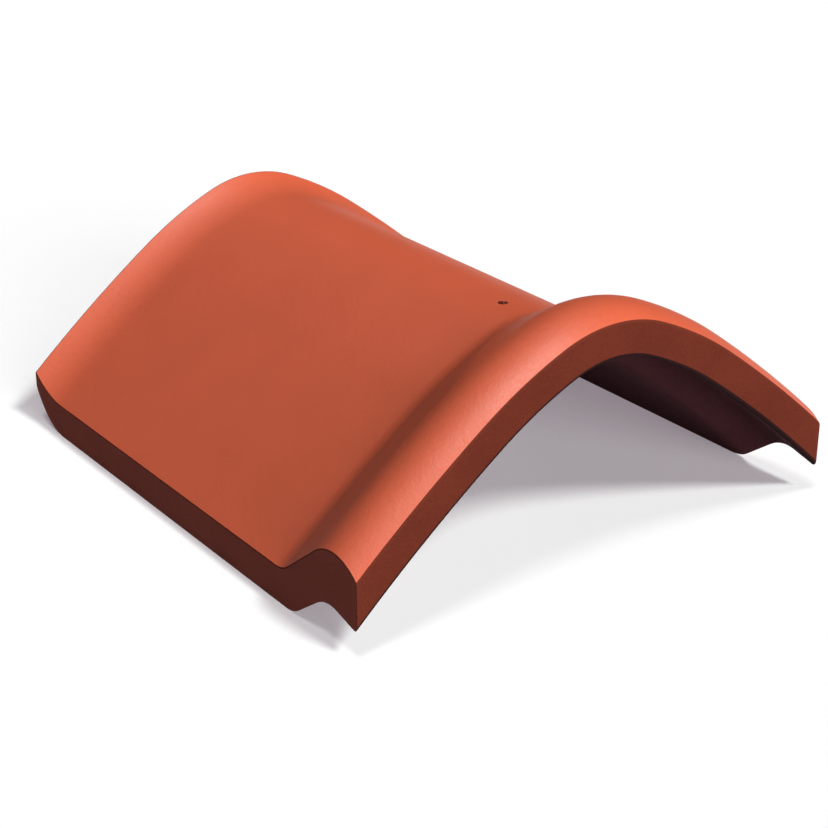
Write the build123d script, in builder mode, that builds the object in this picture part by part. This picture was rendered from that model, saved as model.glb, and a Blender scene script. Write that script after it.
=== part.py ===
from build123d import *
from math import acos, asin, cos, degrees, radians, sin, sqrt, tan
import os

# Ridge tile of moulded concrete, in millimetres
# +Y runs along the ridge from the roll end to the lip end, +X across it and +Z up
# The origin is midway between the ends and the sides, at the level of the bottom edges

# Overall size
length = 390.0
width = 350.0
wall = 16.5

# Section of the outer face: three tangent arcs from the crown down each side
crown_r = 74.0
crown_angle = 23.0
shoulder_r = 260.0
shoulder_angle = 36.0
flank_r = 1000.0

# Roll that covers the next tile's lip, measured from the roll end
roll_r = 38.0
roll_y = 22.0
roll_rise = 25.0
roll_slope = 30.5
groove_r = 26.0

# Hollow under the roll
hollow_y = 25.5
hollow_rise = 16.5
hollow_r = 30.0
hollow_slope = 28.0
hollow_foot_r = 26.0
nose_slope = 10.5

# Upturned lip at the far end
lip_length = 36.0
lip_rise = 9.4
lip_edge = 8.0

# Arrises at both ends, rounded outside and bevelled inside
arris_r = 1.5
inner_bevel = 1.0

# Nail hole in the crown, measured from the roll end
nail_hole_r = 3.0
nail_hole_y = 101.0

near_end = -length / 2
far_end = length / 2
half_width = width / 2


def beyond(centre, radius, angle):
    """Point at a radius and a slope angle from an arc's centre, in the section's x and z."""
    return centre[0] + radius * sin(radians(angle)), centre[1] + radius * cos(radians(angle))


# Arc centres of the section, first measured from the crown's axis
shoulder_centre = beyond((0, 0), crown_r - shoulder_r, crown_angle)
flank_centre = beyond(shoulder_centre, shoulder_r - flank_r, shoulder_angle)

# The inner face meets the side planes at the level of the floor, which sets the axis height
inner_flank_r = flank_r - wall
side_from_centre = half_width - flank_centre[0]
axis_z = -(flank_centre[1] + sqrt(inner_flank_r**2 - side_from_centre**2))
crown_z = axis_z + crown_r
side_angle = degrees(asin(side_from_centre / inner_flank_r))

# The flank is turned a little past the side plane, and then split there
spare_angle = 3.0
past_side = side_angle + spare_angle


def lip_radius(rise):
    """Radius of an arc that leaves the body level and rises this much over the lip's length."""
    return (lip_length**2 + rise**2) / (2 * rise)


def upturn(radius):
    """Angle that the lip's arc turns through, in degrees."""
    return degrees(asin(lip_length / radius))


# The lip's top turns up by its rise, and its underside by more, down to the thin end face
lip_top_r = lip_radius(lip_rise)
lip_under_r = lip_radius(wall + lip_rise - lip_edge)


def draw_side_profile(face_r):
    """Draw the tile's profile along the ridge, on a plane whose local y is the radius."""
    # Outer face: roll, back slope, groove and body
    roll_centre = (near_end + roll_y, face_r + roll_rise - roll_r)
    roll_start = 180 - degrees(acos(roll_y / roll_r))
    roll_end = 90 - roll_slope
    roll = CenterArc(roll_centre, roll_r, roll_start, roll_end - roll_start)
    slope_foot_y = (roll @ 1).X + ((roll @ 1).Y - face_r) / tan(radians(roll_slope))
    groove_centre = (slope_foot_y + groove_r * tan(radians(roll_slope / 2)), face_r + groove_r)
    groove = CenterArc(groove_centre, groove_r, -90 - roll_slope, roll_slope)
    Line(roll @ 1, groove @ 0)
    # Outer face: lip
    lip_y = far_end - lip_length
    lip_top = CenterArc((lip_y, face_r + lip_top_r), lip_top_r, -90, upturn(lip_top_r))
    Line(groove @ 1, lip_top @ 0)
    # Inner face: lip and body
    inner_r = face_r - wall
    lip_under_centre = (lip_y, inner_r + lip_under_r)
    lip_under = CenterArc(lip_under_centre, lip_under_r, upturn(lip_under_r) - 90, -upturn(lip_under_r))
    Line(lip_top @ 1, lip_under @ 0)
    # Inner face: hollow under the roll, and the nose in front of it
    hollow_centre = (near_end + hollow_y, inner_r + hollow_rise - hollow_r)
    hollow = CenterArc(hollow_centre, hollow_r, 90 - hollow_slope, hollow_slope + nose_slope)
    foot_y = (hollow @ 0).X + ((hollow @ 0).Y - inner_r) / tan(radians(hollow_slope))
    foot_centre = (foot_y + hollow_foot_r * tan(radians(hollow_slope / 2)), inner_r + hollow_foot_r)
    foot = CenterArc(foot_centre, hollow_foot_r, -90, -hollow_slope)
    Line(lip_under @ 1, foot @ 0)
    Line(foot @ 1, hollow @ 0)
    nose_drop = ((hollow @ 1).X - near_end) * tan(radians(nose_slope))
    nose_end = (near_end, (hollow @ 1).Y - nose_drop)
    Line(hollow @ 1, nose_end)
    Line(nose_end, roll @ 0)


def end_corners(profile, place):
    """The profile's inner corner (place 0) or outer corner (place -1) at each end."""
    by_end = profile.vertices().group_by(Axis.X)
    return [by_end[0].sort_by(Axis.Y)[place], by_end[-1].sort_by(Axis.Y)[place]]


def radial_plane(centre, angle):
    """Plane through an arc's axis, with local x along the ridge and local y along the radius."""
    slope = radians(angle)
    return Plane(origin=(centre[0], 0, axis_z + centre[1]), x_dir=(0, 1, 0), z_dir=(cos(slope), 0, -sin(slope)))


# Each strip of the section: the arc's centre, its outer radius, and the angles where it starts and ends
strips = [
    ((0, 0), crown_r, 0, crown_angle),
    (shoulder_centre, shoulder_r, crown_angle, shoulder_angle),
    (flank_centre, flank_r, shoulder_angle, past_side),
]

with BuildPart() as ridge_tile:
    # One half, as the same profile turned about each arc's own axis
    for centre, face_r, start_angle, end_angle in strips:
        with BuildSketch(radial_plane(centre, start_angle)) as profile:
            with BuildLine():
                draw_side_profile(face_r)
            make_face()
            fillet(end_corners(profile, -1), arris_r)
            chamfer(end_corners(profile, 0), inner_bevel)
        turning_axis = Axis((centre[0], 0, axis_z + centre[1]), (0, 1, 0))
        revolve(axis=turning_axis, revolution_arc=end_angle - start_angle)
    # Vertical side face, then the other half
    split(bisect_by=Plane.YZ.offset(half_width), keep=Keep.BOTTOM)
    mirror(about=Plane.YZ)
    # Nail hole down through the crown
    with Locations((0, near_end + nail_hole_y, crown_z)):
        Hole(nail_hole_r, depth=2 * wall)

ridge_tile.part.label = "ridge_tile"

os.makedirs("parts", exist_ok=True)
export_step(ridge_tile.part, "parts/ridge_tile.step")
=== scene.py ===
from math import acos, asin, atan2, cos, hypot, pi, radians, sin, sqrt, tan

import bmesh
import bpy
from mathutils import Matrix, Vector


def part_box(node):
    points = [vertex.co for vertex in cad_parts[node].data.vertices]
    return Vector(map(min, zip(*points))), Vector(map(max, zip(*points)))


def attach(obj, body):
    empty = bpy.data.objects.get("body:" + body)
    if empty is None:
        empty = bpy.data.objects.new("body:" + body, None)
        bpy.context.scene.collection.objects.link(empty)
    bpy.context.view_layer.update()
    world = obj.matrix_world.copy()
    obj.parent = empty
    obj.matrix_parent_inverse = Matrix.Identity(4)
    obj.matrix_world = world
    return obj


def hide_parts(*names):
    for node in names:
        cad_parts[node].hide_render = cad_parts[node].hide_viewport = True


bl_info = {
    "name": "Ridge Tile",
    "version": (1, 0, 0),
    "blender": (4, 5, 0),
    "location": "3D View > Sidebar > Ridge Tile",
    "description": "Builds a coated concrete ridge tile and a small studio round it",
    "category": "Object",
}

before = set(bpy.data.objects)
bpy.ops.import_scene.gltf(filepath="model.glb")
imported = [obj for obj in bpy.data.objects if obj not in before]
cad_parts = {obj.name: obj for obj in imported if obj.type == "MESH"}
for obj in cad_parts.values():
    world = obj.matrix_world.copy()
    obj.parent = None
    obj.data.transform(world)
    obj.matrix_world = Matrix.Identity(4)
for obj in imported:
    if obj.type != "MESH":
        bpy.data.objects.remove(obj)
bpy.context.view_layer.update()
tile_low, tile_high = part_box("ridge_tile")

MM = 0.001

# Shape of the moulded body, in millimetres, as in the CAD part
WALL = 16.5
CROWN_R, CROWN_ANGLE = 74.0, 23.0
SHOULDER_R, SHOULDER_ANGLE = 260.0, 36.0
FLANK_R = 1000.0
ROLL_R, ROLL_Y, ROLL_RISE, ROLL_SLOPE = 38.0, 22.0, 25.0, 30.5
GROOVE_R = 26.0
HOLLOW_Y, HOLLOW_RISE, HOLLOW_R, HOLLOW_SLOPE = 25.5, 16.5, 30.0, 28.0
HOLLOW_FOOT_R = 26.0
NOSE_SLOPE = 10.5
LIP_LENGTH, LIP_RISE, LIP_EDGE = 36.0, 9.4, 8.0
NAIL_HOLE_R, NAIL_HOLE_Y = 3.0, 101.0

# Ends and sides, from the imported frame
NEAR_END = tile_low.y / MM
FAR_END = tile_high.y / MM
HALF_WIDTH = tile_high.x / MM

# Centres of the section's arcs, measured from the crown's axis
SHOULDER_CENTRE = (
    (CROWN_R - SHOULDER_R) * sin(radians(CROWN_ANGLE)),
    (CROWN_R - SHOULDER_R) * cos(radians(CROWN_ANGLE)),
)
FLANK_CENTRE = (
    SHOULDER_CENTRE[0] + (SHOULDER_R - FLANK_R) * sin(radians(SHOULDER_ANGLE)),
    SHOULDER_CENTRE[1] + (SHOULDER_R - FLANK_R) * cos(radians(SHOULDER_ANGLE)),
)
SIDE_FROM_CENTRE = HALF_WIDTH - FLANK_CENTRE[0]
AXIS_Z = -(FLANK_CENTRE[1] + sqrt((FLANK_R - WALL) ** 2 - SIDE_FROM_CENTRE**2))

# Fineness of the mesh: steps of the section, degrees per step of the profile's arcs, and millimetres per
# step of its straight body
CROWN_STEPS, SHOULDER_STEPS, FLANK_STEPS = 10, 12, 12
ARC_STEP = 5.0
BODY_STEP = 12.0
RIM_STEPS = 32
WINDOW_STEPS = 4
RIM_ARRIS_SEGMENTS = 2

# How close counts as the same place, in millimetres, and what counts as a sharp edge, in degrees
CLOSE = 0.01
SHARP = 30

# Material slots of the body, and how steeply a face looks up, down or sideways to be given one
COAT, END, SIDE, UNDERSIDE, NOSE = range(5)
LOOKS_UP, LOOKS_DOWN, LOOKS_SIDEWAYS = 0.3, -0.12, 0.7

# Sizes of the patterns, in millimetres
PEEL, COAT_CLOUD, COAT_RELIEF = 4.5, 45.0, 0.12
BLOTCH, SAND_RELIEF = 30.0, 0.3
PORE_SPACING, PORE_DEPTH = 7.0, 0.4

# Where a blow hole's floor ends and its rim stands, as shares of the spacing
PORE_FLOOR, PORE_RIM = 0.03, 0.08

# The part of a noise's range in which nearly all of it falls
NOISE_SPAN = {"From Min": 0.3, "From Max": 0.7}

# Lamps: azimuth, elevation and spread, in degrees
KEY_LIGHT = 12.2, 49.5, 11
FILL_LIGHT = -6, 15, 32
TOP_LIGHT = -45, 74.5, 12
REAR_LIGHT = 154, 2.5, 4

# Camera, from the outlines in the photo: metres, degrees and millimetres
CAMERA_PLACE = -0.65241, -0.90871, 0.53106
CAMERA_AZIMUTH, CAMERA_ELEVATION = -35.7894, 24.1785
CAMERA_LENS, CAMERA_SENSOR = 81.284, 36.0

# Half the width of the floor, and how far off a lamp's marker stands, in metres
FLOOR_REACH = 6.0
LAMP_DISTANCE = 2


def linear(hex_colour):
    """Turn an sRGB hex colour into the linear colour that a shader takes."""
    values = [int(hex_colour[i : i + 2], 16) / 255 for i in (1, 3, 5)]
    return (*(v / 12.92 if v <= 0.04045 else ((v + 0.055) / 1.055) ** 2.4 for v in values), 1.0)


def add_node(tree, kind, inputs=None, **settings):
    """Add a node with its settings. Each input, by name or number, is a value or a socket to link."""
    node = tree.nodes.new(kind)
    for name, value in settings.items():
        setattr(node, name, value)
    for name, value in (inputs or {}).items():
        if isinstance(value, bpy.types.NodeSocket):
            tree.links.new(value, node.inputs[name])
        else:
            node.inputs[name].default_value = value
    return node


def new_material(name):
    """Start a material with its output node only."""
    material = bpy.data.materials.new(name)
    material.use_nodes = True
    material.node_tree.nodes.clear()
    return material, material.node_tree, material.node_tree.nodes.new("ShaderNodeOutputMaterial")


def run_to(bm, pen, y, radius, step=None):
    """Extrude the pen's vertex in a straight run of one or more steps, in the plane of the crown."""
    start = pen.co.copy()
    end = Vector((0, y, AXIS_Z + radius)) * MM
    count = max(1, round((end - start).length / MM / step)) if step else 1
    for i in range(count):
        pen = bmesh.ops.extrude_vert_indiv(bm, verts=[pen])["verts"][0]
        pen.co = start.lerp(end, (i + 1) / count)
    return pen


def sweep(bm, pen, y, radius, angle):
    """Spin the pen's vertex round a centre in the plane of the crown, by an angle in degrees."""
    made = bmesh.ops.spin(
        bm,
        geom=[pen],
        cent=Vector((0, y, AXIS_Z + radius)) * MM,
        axis=(1, 0, 0),
        angle=radians(angle),
        steps=max(2, round(abs(angle) / ARC_STEP)),
    )
    return next(part for part in made["geom_last"] if isinstance(part, bmesh.types.BMVert))


def lip_arc(rise):
    """Radius of the arc that rises this much over the lip's length, and the angle it turns through."""
    radius = (LIP_LENGTH**2 + rise**2) / (2 * rise)
    return radius, asin(LIP_LENGTH / radius) * 180 / pi


def draw_side_profile(bm, hole_y):
    """Draw the closed profile along the ridge, in the plane of the crown."""
    inner = CROWN_R - WALL
    hole_lines = [hole_y + i * NAIL_HOLE_R for i in (-2, -1, 0, 1, 2)]
    roll_y, roll_z = NEAR_END + ROLL_Y, CROWN_R + ROLL_RISE - ROLL_R
    first = bm.verts.new(Vector((0, NEAR_END, AXIS_Z + roll_z + sqrt(ROLL_R**2 - ROLL_Y**2))) * MM)
    # Outer face: roll, back slope, groove, body and lip
    roll_sweep = 90 + ROLL_SLOPE - acos(ROLL_Y / ROLL_R) * 180 / pi
    pen = sweep(bm, first, roll_y, roll_z, -roll_sweep)
    slope = radians(ROLL_SLOPE)
    top_y, top_z = roll_y + ROLL_R * sin(slope), roll_z + ROLL_R * cos(slope)
    groove_y = top_y + (top_z - CROWN_R) / tan(slope) + GROOVE_R * tan(slope / 2)
    pen = run_to(bm, pen, groove_y - GROOVE_R * sin(slope), CROWN_R + GROOVE_R * (1 - cos(slope)))
    pen = sweep(bm, pen, groove_y, CROWN_R + GROOVE_R, ROLL_SLOPE)
    for y in hole_lines:
        pen = run_to(bm, pen, y, CROWN_R, BODY_STEP)
    lip_y = FAR_END - LIP_LENGTH
    pen = run_to(bm, pen, lip_y, CROWN_R, BODY_STEP)
    top_r, top_turn = lip_arc(LIP_RISE)
    pen = sweep(bm, pen, lip_y, CROWN_R + top_r, top_turn)
    # Inner face: lip, body, hollow and nose
    pen = run_to(bm, pen, FAR_END, CROWN_R + LIP_RISE - LIP_EDGE)
    under_r, under_turn = lip_arc(WALL + LIP_RISE - LIP_EDGE)
    pen = sweep(bm, pen, lip_y, inner + under_r, -under_turn)
    slope = radians(HOLLOW_SLOPE)
    hollow_y, hollow_z = NEAR_END + HOLLOW_Y, inner + HOLLOW_RISE - HOLLOW_R
    side_y, side_z = hollow_y + HOLLOW_R * sin(slope), hollow_z + HOLLOW_R * cos(slope)
    foot_y = side_y + (side_z - inner) / tan(slope) + HOLLOW_FOOT_R * tan(slope / 2)
    for y in reversed(hole_lines):
        pen = run_to(bm, pen, y, inner, BODY_STEP)
    pen = run_to(bm, pen, foot_y, inner, BODY_STEP)
    pen = sweep(bm, pen, foot_y, inner + HOLLOW_FOOT_R, -HOLLOW_SLOPE)
    pen = run_to(bm, pen, side_y, side_z)
    pen = sweep(bm, pen, hollow_y, hollow_z, HOLLOW_SLOPE + NOSE_SLOPE)
    nose_y, nose_z = pen.co.y / MM, pen.co.z / MM - AXIS_Z
    pen = run_to(bm, pen, NEAR_END, nose_z - (nose_y - NEAR_END) * tan(radians(NOSE_SLOPE)))
    bm.edges.new((pen, first))


def spin_section(bm):
    """Turn the profile about the crown's, the shoulder's and the flank's axis, out to one side."""
    geom = bm.verts[:] + bm.edges[:]
    turns = (
        ((0, 0), 0, CROWN_ANGLE, CROWN_STEPS),
        (SHOULDER_CENTRE, CROWN_ANGLE, SHOULDER_ANGLE, SHOULDER_STEPS),
        (FLANK_CENTRE, SHOULDER_ANGLE, asin(SIDE_FROM_CENTRE / (FLANK_R - WALL)) * 180 / pi, FLANK_STEPS),
    )
    for centre, start, end, steps in turns:
        before = set(bm.verts)
        geom = bmesh.ops.spin(
            bm,
            geom=geom,
            cent=Vector((centre[0], 0, AXIS_Z + centre[1])) * MM,
            axis=(0, 1, 0),
            angle=radians(end - start),
            steps=steps,
        )["geom_last"]
    # The flank's verts slide round their arcs, so that the last ones lie in the side plane
    flank_x, flank_z = FLANK_CENTRE[0] * MM, (AXIS_Z + FLANK_CENTRE[1]) * MM
    start, end = radians(turns[2][1]), radians(turns[2][2])
    for vert in set(bm.verts) - before:
        x, z = vert.co.x - flank_x, vert.co.z - flank_z
        radius = hypot(x, z)
        share = (atan2(x, z) - start) / (end - start)
        angle = start + share * (asin(SIDE_FROM_CENTRE * MM / radius) - start)
        vert.co.x, vert.co.z = flank_x + radius * sin(angle), flank_z + radius * cos(angle)


def cut_nail_hole(bm, hole_y, radius):
    """Open a window in the crown's outer and inner face, ring it to the hole's rim, and line the bore."""
    reach = 2 * NAIL_HOLE_R * MM
    rims = []
    for face_r in (CROWN_R, CROWN_R - WALL):
        half_window = face_r * MM * sin(radians(CROWN_ANGLE / CROWN_STEPS * WINDOW_STEPS / 2))
        window = []
        for face in bm.faces:
            middle = face.calc_center_median()
            on_face = abs(hypot(middle.x, middle.z - AXIS_Z * MM) - face_r * MM) < MM
            if on_face and abs(middle.x) < half_window and abs(middle.y - hole_y * MM) < reach:
                window.append(face)
        inside = set(window)
        border = [edge for face in window for edge in face.edges if not set(edge.link_faces) <= inside]
        bmesh.ops.delete(bm, geom=window, context="FACES")
        rim = bmesh.ops.create_circle(bm, segments=RIM_STEPS, radius=radius * MM)["verts"]
        for vert in rim:
            vert.co.y += hole_y * MM
            vert.co.z = AXIS_Z * MM + sqrt((face_r * MM) ** 2 - vert.co.x**2)
        rim_edges = list({edge for vert in rim for edge in vert.link_edges})
        bmesh.ops.bridge_loops(bm, edges=border + rim_edges)
        rims += rim_edges
    bmesh.ops.bridge_loops(bm, edges=rims)


def bevel(bm, edges, offset, segments, finish):
    """Round edges back by an offset, in one of the finishes, or in that of the faces beside them (-1)."""
    bmesh.ops.bevel(
        bm,
        geom=edges,
        offset=offset,
        offset_type="OFFSET",
        affect="EDGES",
        segments=segments,
        profile=0.5,
        material=finish,
        clamp_overlap=True,
    )


def round_arrises(bm, shape):
    """Round the arrises of both ends, then those of the sides, then the nail hole's rims."""

    def sharp(test):
        found = [edge for edge in bm.edges if edge.is_manifold and edge.calc_face_angle() > radians(SHARP)]
        return [edge for edge in found if test((edge.verts[0].co + edge.verts[1].co) / 2 / MM, edge)]

    def at_end(end, face_way):
        return sharp(
            lambda middle, edge: abs(middle.y - end) < CLOSE
            and abs(middle.x) < HALF_WIDTH - CLOSE
            and sum(face.normal.z for face in edge.link_faces) * face_way > 0
        )

    # The roll end's lower arris takes the nose finish, a painted shade line
    bevel(bm, at_end(NEAR_END, -1), shape.nose_arris, shape.arris_segments, NOSE)
    for end, way in ((NEAR_END, 1), (FAR_END, 1), (FAR_END, -1)):
        bevel(bm, at_end(end, way), shape.end_arris, shape.arris_segments, END)
    rails = sharp(lambda middle, edge: abs(middle.x) > HALF_WIDTH - CLOSE)
    bevel(bm, rails, shape.side_arris, shape.arris_segments, END)
    hole_y = NEAR_END + NAIL_HOLE_Y
    rims = sharp(lambda middle, edge: hypot(middle.x, middle.y - hole_y) < 2 * NAIL_HOLE_R)
    bevel(bm, rims, shape.rim_arris, RIM_ARRIS_SEGMENTS, -1)
    # The bottom edges stand flat on the floor
    for vert in bm.verts:
        if vert.co.z < shape.side_arris / 2:
            vert.co.z = 0.0


def finish_of(normal):
    """Material slot of a face, by the way it looks."""
    if normal.z > LOOKS_UP:
        return COAT
    # Faces that look down take the underside finish, with its painted cool shade tint
    if normal.z < LOOKS_DOWN:
        return UNDERSIDE
    # Faces that look sideways take the side finish, which is painted paler as painted light
    return SIDE if abs(normal.x) > LOOKS_SIDEWAYS else END


def finish_piece(bm, name, materials):
    """Turn the bmesh into a smooth shaded object in the scene."""
    mesh = bpy.data.meshes.new(name)
    bm.to_mesh(mesh)
    bm.free()
    for material in materials:
        mesh.materials.append(material)
    mesh.shade_smooth()
    piece = bpy.data.objects.new(name, mesh)
    bpy.context.scene.collection.objects.link(piece)
    return piece


def coated_concrete(finish):
    """Acrylic coat, sprayed on moulded concrete: satin, with the sand's fine grain showing through."""
    material, tree, output = new_material("acrylic_coated_concrete")
    place = add_node(tree, "ShaderNodeTexCoord").outputs["Object"]
    grain = add_node(
        tree,
        "ShaderNodeTexNoise",
        {"Vector": place, "Scale": 1 / finish.coat_grain, "Detail": 3.0, "Roughness": 0.55},
    )
    peel = add_node(
        tree, "ShaderNodeTexNoise", {"Vector": place, "Scale": 1 / (PEEL * MM), "Detail": 2.0}
    )
    cloud = add_node(
        tree, "ShaderNodeTexNoise", {"Vector": place, "Scale": 1 / (COAT_CLOUD * MM), "Detail": 3.0}
    )
    tone = add_node(
        tree,
        "ShaderNodeMapRange",
        {"Value": cloud.outputs["Fac"], **NOISE_SPAN, "To Min": 0.97, "To Max": 1.03},
    )
    speck = add_node(
        tree,
        "ShaderNodeMapRange",
        {"Value": grain.outputs["Fac"], **NOISE_SPAN, "To Min": 0.96, "To Max": 1.04},
    )
    value = add_node(
        tree,
        "ShaderNodeMath",
        {0: tone.outputs["Result"], 1: speck.outputs["Result"]},
        operation="MULTIPLY",
    )
    colour = add_node(
        tree,
        "ShaderNodeHueSaturation",
        {"Color": linear(finish.coat_colour), "Value": value.outputs["Value"]},
    )
    rough = add_node(
        tree,
        "ShaderNodeMapRange",
        {"Value": grain.outputs["Fac"], **NOISE_SPAN, "To Min": 0.48, "To Max": 0.58},
    )
    peel_bump = add_node(
        tree,
        "ShaderNodeBump",
        {"Height": peel.outputs["Fac"], "Strength": 1.0, "Distance": COAT_RELIEF * MM},
    )
    grain_bump = add_node(
        tree,
        "ShaderNodeBump",
        {
            "Height": grain.outputs["Fac"],
            "Strength": 1.0,
            "Distance": COAT_RELIEF * MM,
            "Normal": peel_bump.outputs["Normal"],
        },
    )
    shader = add_node(
        tree,
        "ShaderNodeBsdfPrincipled",
        {
            "Base Color": colour.outputs["Color"],
            "Roughness": rough.outputs["Result"],
            "IOR": 1.49,
            "Specular IOR Level": 1.0,
            "Normal": grain_bump.outputs["Normal"],
        },
    )
    tree.links.new(shader.outputs["BSDF"], output.inputs["Surface"])
    return material


def bare_concrete(name, colour, finish):
    """Through-coloured concrete, matt and sandy, with small blow holes."""
    material, tree, output = new_material(name)
    place = add_node(tree, "ShaderNodeTexCoord").outputs["Object"]
    sand = add_node(
        tree,
        "ShaderNodeTexNoise",
        {"Vector": place, "Scale": 1 / finish.sand_grain, "Detail": 4.0, "Roughness": 0.65},
    )
    cloud = add_node(
        tree, "ShaderNodeTexNoise", {"Vector": place, "Scale": 1 / (BLOTCH * MM), "Detail": 4.0}
    )
    pores = add_node(tree, "ShaderNodeTexVoronoi", {"Vector": place, "Scale": 1 / (PORE_SPACING * MM)})
    pore = add_node(
        tree,
        "ShaderNodeMapRange",
        {"Value": pores.outputs["Distance"], "From Min": PORE_FLOOR, "From Max": PORE_RIM, "To Max": 1.0},
    )
    tone = add_node(
        tree,
        "ShaderNodeMapRange",
        {"Value": cloud.outputs["Fac"], **NOISE_SPAN, "To Min": 0.93, "To Max": 1.07},
    )
    speck = add_node(
        tree,
        "ShaderNodeMapRange",
        {"Value": sand.outputs["Fac"], **NOISE_SPAN, "To Min": 0.9, "To Max": 1.1},
    )
    value = add_node(
        tree,
        "ShaderNodeMath",
        {0: tone.outputs["Result"], 1: speck.outputs["Result"]},
        operation="MULTIPLY",
    )
    colour = add_node(
        tree, "ShaderNodeHueSaturation", {"Color": linear(colour), "Value": value.outputs["Value"]}
    )
    pore_bump = add_node(
        tree,
        "ShaderNodeBump",
        {"Height": pore.outputs["Result"], "Strength": 1.0, "Distance": PORE_DEPTH * MM},
    )
    sand_bump = add_node(
        tree,
        "ShaderNodeBump",
        {
            "Height": sand.outputs["Fac"],
            "Strength": 1.0,
            "Distance": SAND_RELIEF * MM,
            "Normal": pore_bump.outputs["Normal"],
        },
    )
    shader = add_node(
        tree,
        "ShaderNodeBsdfPrincipled",
        {
            "Base Color": colour.outputs["Color"],
            "Roughness": 0.95,
            "Specular IOR Level": 0.1,
            "Normal": sand_bump.outputs["Normal"],
        },
    )
    tree.links.new(shader.outputs["BSDF"], output.inputs["Surface"])
    return material


def studio_floor(studio):
    """Matt white board: white to the camera, with pale shadows, and a plain bounce to the tile."""
    material, tree, output = new_material("matt_white_board")
    path = add_node(tree, "ShaderNodeLightPath").outputs
    seen = add_node(
        tree, "ShaderNodeMath", {0: path["Is Camera Ray"], 1: path["Is Glossy Ray"]}, operation="MAXIMUM"
    )
    seen = add_node(
        tree,
        "ShaderNodeMath",
        {0: seen.outputs["Value"], 1: path["Is Transmission Ray"]},
        operation="MAXIMUM",
    )
    bounce = add_node(tree, "ShaderNodeBsdfDiffuse", {"Color": linear(studio.floor_colour)})
    lit = add_node(tree, "ShaderNodeBsdfDiffuse", {"Color": linear(studio.lit_colour)})
    sheen = add_node(
        tree, "ShaderNodeBsdfAnisotropic", {"Color": linear(studio.sheen_colour), "Roughness": 1.0}
    )
    glow = add_node(tree, "ShaderNodeEmission", {"Color": linear(studio.glow_colour), "Strength": 1.0})
    shown = add_node(tree, "ShaderNodeAddShader", {0: lit.outputs["BSDF"], 1: sheen.outputs["BSDF"]})
    shown = add_node(
        tree, "ShaderNodeAddShader", {0: shown.outputs["Shader"], 1: glow.outputs["Emission"]}
    )
    mixed = add_node(
        tree,
        "ShaderNodeMixShader",
        {"Fac": seen.outputs["Value"], 1: bounce.outputs["BSDF"], 2: shown.outputs["Shader"]},
    )
    tree.links.new(mixed.outputs["Shader"], output.inputs["Surface"])
    return material


def studio_world(studio):
    """White to the camera, with as much light from all round as the studio is set to."""
    world = bpy.data.worlds.new("studio_world")
    world.use_nodes = True
    tree = world.node_tree
    tree.nodes.clear()
    path = add_node(tree, "ShaderNodeLightPath").outputs
    seen = add_node(
        tree,
        "ShaderNodeMath",
        {0: path["Is Camera Ray"], 1: path["Is Transmission Ray"]},
        operation="MAXIMUM",
    )
    dim = add_node(tree, "ShaderNodeBackground", {"Color": (1, 1, 1, 1), "Strength": studio.ambient})
    white = add_node(tree, "ShaderNodeBackground", {"Color": (1, 1, 1, 1), "Strength": 1.0})
    mixed = add_node(
        tree,
        "ShaderNodeMixShader",
        {"Fac": seen.outputs["Value"], 1: dim.outputs["Background"], 2: white.outputs["Background"]},
    )
    output = add_node(tree, "ShaderNodeOutputWorld")
    tree.links.new(mixed.outputs["Shader"], output.inputs["Surface"])
    return world


def direction(azimuth, elevation):
    """Unit vector that points away from the tile, round from the roll end and up, in degrees."""
    azimuth, elevation = radians(azimuth), radians(elevation)
    return Vector((sin(azimuth) * cos(elevation), -cos(azimuth) * cos(elevation), sin(elevation)))


def add_lamp(name, place, white_level):
    """Add a distant lamp, as wide as its spread. A white face square to it renders at the white level."""
    azimuth, elevation, spread = place
    lamp = bpy.data.lights.new(name, "SUN")
    lamp.energy = white_level * pi
    lamp.angle = radians(spread)
    holder = bpy.data.objects.new(name, lamp)
    holder.rotation_mode = "QUATERNION"
    holder.rotation_quaternion = direction(azimuth, elevation).to_track_quat("Z", "Y")
    holder.location = direction(azimuth, elevation) * LAMP_DISTANCE
    bpy.context.scene.collection.objects.link(holder)
    return holder


class RidgeTileShape(bpy.types.PropertyGroup):
    nose_arris: bpy.props.FloatProperty(
        name="Nose arris",
        description="How far the lower edge of the roll end is rounded back",
        default=3.2 * MM,
        unit="LENGTH",
    )
    end_arris: bpy.props.FloatProperty(
        name="End arris",
        description="How far the other edges of both ends are rounded back",
        default=1.0 * MM,
        unit="LENGTH",
    )
    side_arris: bpy.props.FloatProperty(
        name="Side arris",
        description="How far the edges of the side faces are rounded back",
        default=0.5 * MM,
        unit="LENGTH",
    )
    rim_arris: bpy.props.FloatProperty(
        name="Rim arris",
        description="How far the nail hole's rims are rounded back",
        default=0.4 * MM,
        unit="LENGTH",
    )
    arris_segments: bpy.props.IntProperty(
        name="Arris segments", description="Facets across each rounded edge", default=3, min=1, max=6
    )
    nail_hole_radius: bpy.props.FloatProperty(
        name="Nail hole radius",
        description="Radius of the hole in the crown",
        default=NAIL_HOLE_R * MM,
        min=2.0 * MM,
        max=4.0 * MM,
        unit="LENGTH",
    )


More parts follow.
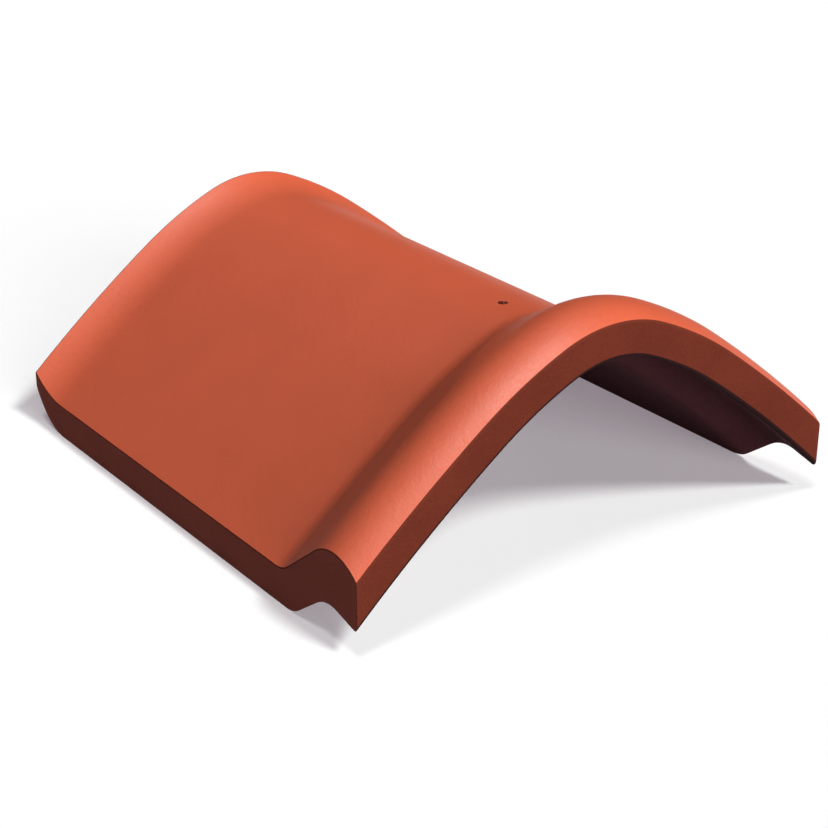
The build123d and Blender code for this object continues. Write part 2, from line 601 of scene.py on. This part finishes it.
class RidgeTileFinish(bpy.types.PropertyGroup):
    coat_colour: bpy.props.StringProperty(
        name="Coat colour", description="Colour of the coat, as sRGB hex", default="#c8593a"
    )
    end_colour: bpy.props.StringProperty(
        name="End colour", description="Colour of the cut ends, as sRGB hex", default="#622b1f"
    )
    # The side colour is bare concrete painted paler and cooler than the ends, as painted light on the sides
    side_colour: bpy.props.StringProperty(
        name="Side colour", description="Colour of the moulded sides, as sRGB hex", default="#a8584c"
    )
    # The underside colour is dull bare concrete with a purplish cast of painted cool shade
    underside_colour: bpy.props.StringProperty(
        name="Underside colour", description="Colour of the underside, as sRGB hex", default="#65393f"
    )
    # The nose colour paints a nearly black shade line on the roll end's lower arris
    nose_painted_shade_colour: bpy.props.StringProperty(
        name="Nose colour",
        description="Colour of the roll end's stained lower edge, as sRGB hex",
        default="#2e191a",
    )
    coat_grain: bpy.props.FloatProperty(
        name="Coat grain", description="Width of the coat's grain", default=1.4 * MM, unit="LENGTH"
    )
    sand_grain: bpy.props.FloatProperty(
        name="Sand grain", description="Width of the bare concrete's grain", default=1.2 * MM, unit="LENGTH"
    )


class RidgeTileStudio(bpy.types.PropertyGroup):
    key_level: bpy.props.FloatProperty(
        name="Key light", description="Level of a white face square to the key light", default=0.98
    )
    fill_level: bpy.props.FloatProperty(
        name="Fill light", description="Level of a white face square to the low fill light", default=0.74
    )
    top_level: bpy.props.FloatProperty(
        name="Top light", description="Level of a white face square to the top light", default=0.18
    )
    rear_level: bpy.props.FloatProperty(
        name="Rear light",
        description="Level of a white face square to the light on the lip end",
        default=0.45,
    )
    sheen_level: bpy.props.FloatProperty(
        name="Sheen light", description="Level of the lamp that only shows as gloss", default=0.62
    )
    ambient: bpy.props.FloatProperty(
        name="Ambient", description="Level of the light from all round, none as it stands", default=0.0
    )
    floor_colour: bpy.props.StringProperty(
        name="Floor colour",
        description="Colour of the light that the floor throws back, as sRGB hex",
        default="#565656",
    )
    glow_colour: bpy.props.StringProperty(
        name="Glow colour",
        description="What the camera sees of the floor in full shadow, as sRGB hex",
        default="#897f86",
    )
    sheen_colour: bpy.props.StringProperty(
        name="Sheen colour",
        description="Broad gloss of the floor that the camera sees, as sRGB hex",
        default="#969696",
    )
    lit_colour: bpy.props.StringProperty(
        name="Lit colour",
        description="What the lamps add to the floor that the camera sees, as sRGB hex",
        default="#cdd2cf",
    )


class BuildTileBody(bpy.types.Operator):
    """Build the moulded body with its coat and its bare concrete"""

    bl_idname = "ridge_tile.body"
    bl_label = "Tile body"

    def execute(self, context):
        shape = context.scene.ridge_tile_shape
        finish = context.scene.ridge_tile_finish
        hole_y = NEAR_END + NAIL_HOLE_Y
        bm = bmesh.new()
        draw_side_profile(bm, hole_y)
        spin_section(bm)
        half = bm.verts[:] + bm.edges[:] + bm.faces[:]
        bmesh.ops.mirror(bm, geom=half, axis="X", merge_dist=CLOSE * MM)
        bmesh.ops.remove_doubles(bm, verts=bm.verts[:], dist=CLOSE * MM)
        for side in (-1, 1):
            rail = [edge for edge in bm.edges if edge.is_boundary and edge.verts[0].co.x * side > 0]
            bmesh.ops.contextual_create(bm, geom=rail)
        cut_nail_hole(bm, hole_y, shape.nail_hole_radius / MM)
        bmesh.ops.recalc_face_normals(bm, faces=bm.faces[:])
        for face in bm.faces:
            face.material_index = finish_of(face.normal)
        round_arrises(bm, shape)
        if any(not edge.is_manifold for edge in bm.edges):
            raise RuntimeError("the tile's mesh isn't closed")
        materials = [
            coated_concrete(finish),
            # Cut across when fresh: dull red brown
            bare_concrete("cut_end_concrete", finish.end_colour, finish),
            # Sides: bare concrete, painted paler and cooler than the ends, as painted light in place of
            # lamp light on them
            bare_concrete("side_concrete_painted_paler", finish.side_colour, finish),
            # Underside: dull bare concrete, with a purplish cast that is painted cool shade
            bare_concrete("underside_concrete_painted_cool_shade", finish.underside_colour, finish),
            # Roll end's lower arris: nearly black, a painted shade line
            bare_concrete("nose_painted_shade_concrete", finish.nose_painted_shade_colour, finish),
        ]
        piece = finish_piece(bm, "tile_body", materials)
        weighted = piece.modifiers.new("even_shading", "WEIGHTED_NORMAL")
        weighted.keep_sharp = True
        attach(piece, "root")
        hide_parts("ridge_tile")
        return {"FINISHED"}


class BuildStage(bpy.types.Operator):
    """Build the floor, the lamps, the world and the camera"""

    bl_idname = "ridge_tile.stage"
    bl_label = "Stage"

    def execute(self, context):
        scene = context.scene
        studio = scene.ridge_tile_studio
        bm = bmesh.new()
        bmesh.ops.create_grid(bm, x_segments=1, y_segments=1, size=FLOOR_REACH)
        mesh = bpy.data.meshes.new("floor")
        bm.to_mesh(mesh)
        bm.free()
        mesh.materials.append(studio_floor(studio))
        floor = bpy.data.objects.new("floor", mesh)
        scene.collection.objects.link(floor)
        scene.world = studio_world(studio)
        # The gloss comes from the top light's direction alone, and has a lamp of its own
        for holder in (
            add_lamp("key_light", KEY_LIGHT, studio.key_level),
            add_lamp("fill_light", FILL_LIGHT, studio.fill_level),
            add_lamp("top_light", TOP_LIGHT, studio.top_level),
            add_lamp("rear_light", REAR_LIGHT, studio.rear_level),
        ):
            holder.visible_glossy = False
        add_lamp("sheen_light", TOP_LIGHT, studio.sheen_level).visible_diffuse = False
        camera = bpy.data.cameras.new("camera")
        camera.sensor_width = CAMERA_SENSOR
        camera.lens = CAMERA_LENS
        holder = bpy.data.objects.new("camera", camera)
        holder.location = CAMERA_PLACE
        holder.rotation_mode = "QUATERNION"
        aim = -direction(CAMERA_AZIMUTH, CAMERA_ELEVATION)
        holder.rotation_quaternion = aim.to_track_quat("-Z", "Y")
        scene.collection.objects.link(holder)
        scene.camera = holder
        scene.view_settings.view_transform = "Standard"
        return {"FINISHED"}


class RidgeTilePanel(bpy.types.Panel):
    """The tile's sizes, colours and light, and the operators that build them"""

    bl_idname = "VIEW3D_PT_ridge_tile"
    bl_label = "Ridge Tile"
    bl_space_type = "VIEW_3D"
    bl_region_type = "UI"
    bl_category = "Ridge Tile"

    def draw(self, context):
        layout = self.layout
        for name, operator in (
            ("ridge_tile_shape", "ridge_tile.body"),
            ("ridge_tile_finish", None),
            ("ridge_tile_studio", "ridge_tile.stage"),
        ):
            group = getattr(context.scene, name)
            box = layout.box()
            for prop in group.bl_rna.properties:
                if prop.identifier not in ("rna_type", "name"):
                    box.prop(group, prop.identifier)
            if operator:
                box.operator(operator)


GROUPS = {
    "ridge_tile_shape": RidgeTileShape,
    "ridge_tile_finish": RidgeTileFinish,
    "ridge_tile_studio": RidgeTileStudio,
}
CLASSES = (*GROUPS.values(), BuildTileBody, BuildStage, RidgeTilePanel)


def register():
    for item in CLASSES:
        bpy.utils.register_class(item)
    for name, group in GROUPS.items():
        setattr(bpy.types.Scene, name, bpy.props.PointerProperty(type=group))


def unregister():
    for name in GROUPS:
        delattr(bpy.types.Scene, name)
    for item in reversed(CLASSES):
        bpy.utils.unregister_class(item)


def main():
    register()
    bpy.ops.ridge_tile.stage()
    bpy.ops.ridge_tile.body()


if __name__ == "__main__":
    main()
